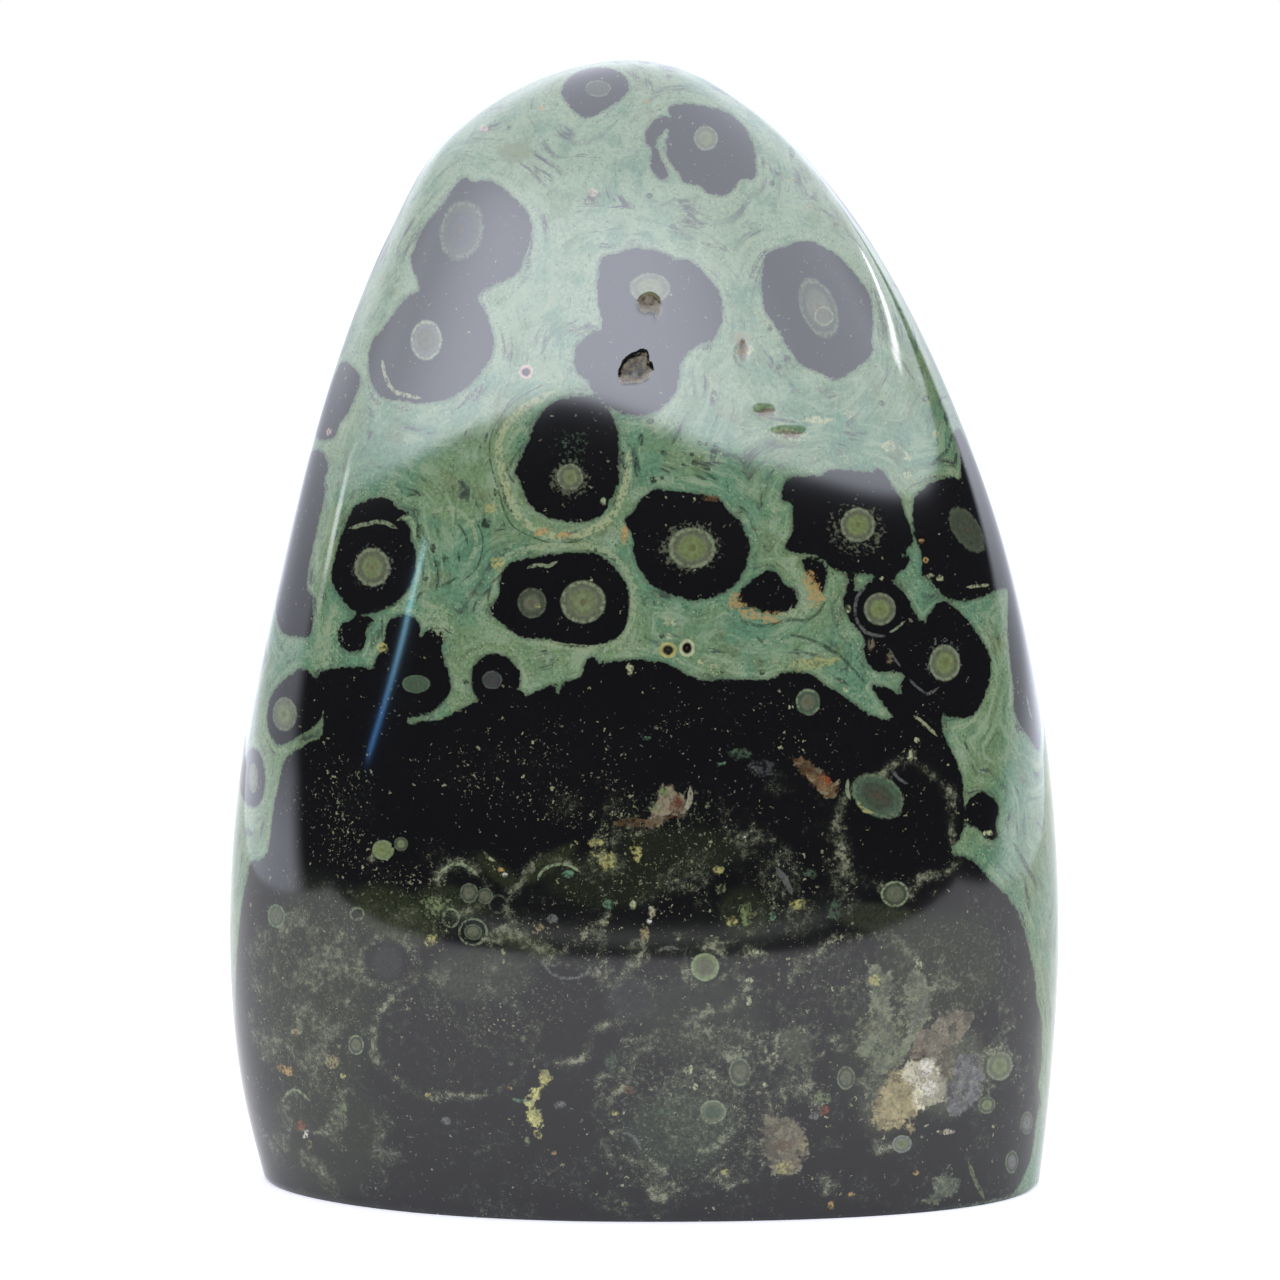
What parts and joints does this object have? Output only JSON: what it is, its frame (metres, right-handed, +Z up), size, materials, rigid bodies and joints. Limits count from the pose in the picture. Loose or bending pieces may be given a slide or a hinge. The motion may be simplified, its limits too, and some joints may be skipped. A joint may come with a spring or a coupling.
{
  "type": "polished kambaba jasper freeform",
  "caption": "Polished upright freeform of kambaba jasper, dome shaped and slab thin, with black orbs on green, standing on a flat sawn base.",
  "frame": {"origin": "on the flat base, under the middle of the widest section", "axes": "+X to the right across the width, +Y through the thickness to the back, +Z up"},
  "size_m": [0.0872, 0.049, 0.118],
  "materials": {
    "stone": "mirror-polished orbicular stone, black and green, with a few dull pits"
  },
  "bodies": {
    "root": {"polished_stone": "stone"}
  },
  "joints": []
}
